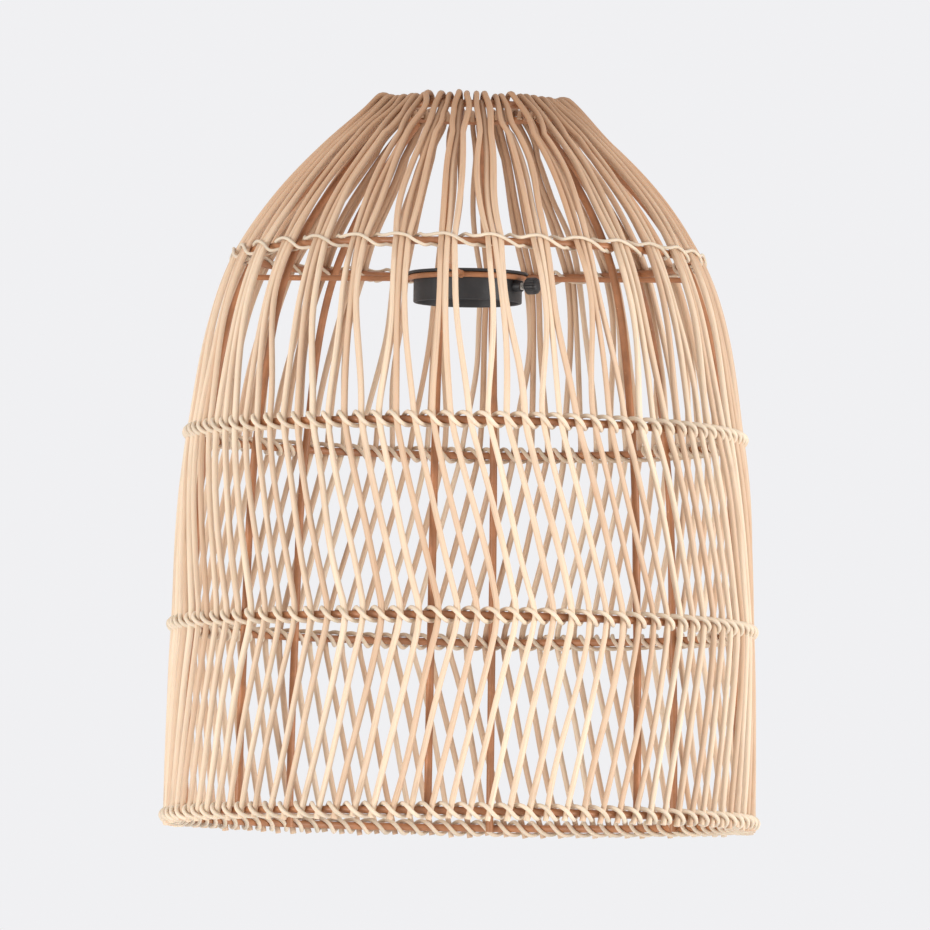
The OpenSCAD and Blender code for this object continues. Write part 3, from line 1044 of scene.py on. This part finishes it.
def soft_light(name, place, aim, size, power, colour):
    data = bpy.data.lights.new(name, "AREA")
    data.shape = "DISK"
    data.size, data.energy, data.color = size, power, colour
    lamp = bpy.data.objects.new(name, data)
    bpy.context.scene.collection.objects.link(lamp)
    lamp.location = place
    lamp.rotation_euler = (Vector(aim) - Vector(place)).to_track_quat("-Z", "Y").to_euler()


class SHADE_OT_stage(bpy.types.Operator):
    """Set the floor, the studio light and the camera"""
    bl_idname = "cane_shade.stage"
    bl_label = "Stage"

    def execute(self, context):
        low, high = CAD_BOX
        centre = (low + high) / 2
        self.floor(context, low[2] - RIM_ABOVE_FLOOR)
        self.light(context, centre)
        self.camera(context, centre)
        return {"FINISHED"}

    def floor(self, context, height):
        disc = bmesh.new()
        bmesh.ops.create_circle(disc, cap_ends=True, segments=96, radius=40)
        mesh = bpy.data.meshes.new("floor")
        disc.to_mesh(mesh)
        disc.free()
        mesh.transform(Matrix.Translation((0, 0, height)))
        result, tree, shader = material("Studio Floor")
        place = tree.add("ShaderNodeTexCoord").outputs["Object"]
        cloud = noise(tree, place, 1.5, 2)
        pale = tuple(context.scene.shade_colours.floor)
        tree.join(mixed(tree, cloud, pale, toned(pale, 0.97)), shader, "Base Color")
        shader.inputs["Roughness"].default_value = 0.9
        piece = bpy.data.objects.new("floor", mesh)
        mesh.materials.append(result)
        context.scene.collection.objects.link(piece)

    def light(self, context, centre):
        world = bpy.data.worlds.new("Studio")
        world.use_nodes = True
        world.node_tree.nodes["Background"].inputs["Color"].default_value = SKY
        context.scene.world = world
        context.scene.view_settings.view_transform = "Standard"
        soft_light("key", centre + Vector((-2.2, -2.0, -0.2)), centre, 1.0, 46, (1.0, 0.985, 0.96))
        soft_light("fill", centre + Vector((2.2, -1.2, -0.3)), centre, 1.4, 42, (1.0, 0.99, 0.98))

    def camera(self, context, centre):
        data = bpy.data.cameras.new("camera")
        data.sensor_width = 36
        data.lens = 400
        data.clip_end = 100
        eye = bpy.data.objects.new("camera", data)
        context.scene.collection.objects.link(eye)
        back = Vector((0, -math.cos(CAMERA_BELOW), -math.sin(CAMERA_BELOW)))
        eye.location = centre + CAMERA_DISTANCE * back
        look = (-back).to_track_quat("-Z", "Y").to_matrix().to_4x4()
        roll = Matrix.Rotation(CAMERA_ROLL, 4, "Z")
        eye.matrix_world = Matrix.Translation(eye.location) @ look @ roll
        context.scene.camera = eye


# ---------------------------------------------------------------- add-on

class SHADE_PT_panel(bpy.types.Panel):
    """Builds the shade, piece by piece"""
    bl_label = "Cane Shade"
    bl_idname = "SHADE_PT_panel"
    bl_space_type = "VIEW_3D"
    bl_region_type = "UI"
    bl_category = "Cane Shade"

    def draw(self, context):
        for group in (context.scene.shade_sizes, context.scene.shade_colours):
            for key in group.bl_rna.properties.keys():
                if key not in ("rna_type", "name"):
                    self.layout.prop(group, key)
        for operator in OPERATORS:
            self.layout.operator(operator.bl_idname)


OPERATORS = (SHADE_OT_stage, SHADE_OT_frame, SHADE_OT_canes, SHADE_OT_rows, SHADE_OT_fitter)
CLASSES = (ShadeSizes, ShadeColours) + OPERATORS + (SHADE_PT_panel,)


def register():
    for cls in CLASSES:
        bpy.utils.register_class(cls)
    bpy.types.Scene.shade_sizes = PointerProperty(type=ShadeSizes)
    bpy.types.Scene.shade_colours = PointerProperty(type=ShadeColours)


def unregister():
    del bpy.types.Scene.shade_colours
    del bpy.types.Scene.shade_sizes
    for cls in reversed(CLASSES):
        bpy.utils.unregister_class(cls)


def main():
    register()
    bpy.ops.cane_shade.stage()
    bpy.ops.cane_shade.frame()
    bpy.ops.cane_shade.canes()
    bpy.ops.cane_shade.rows()
    bpy.ops.cane_shade.fitter()


if __name__ == "__main__":
    main()
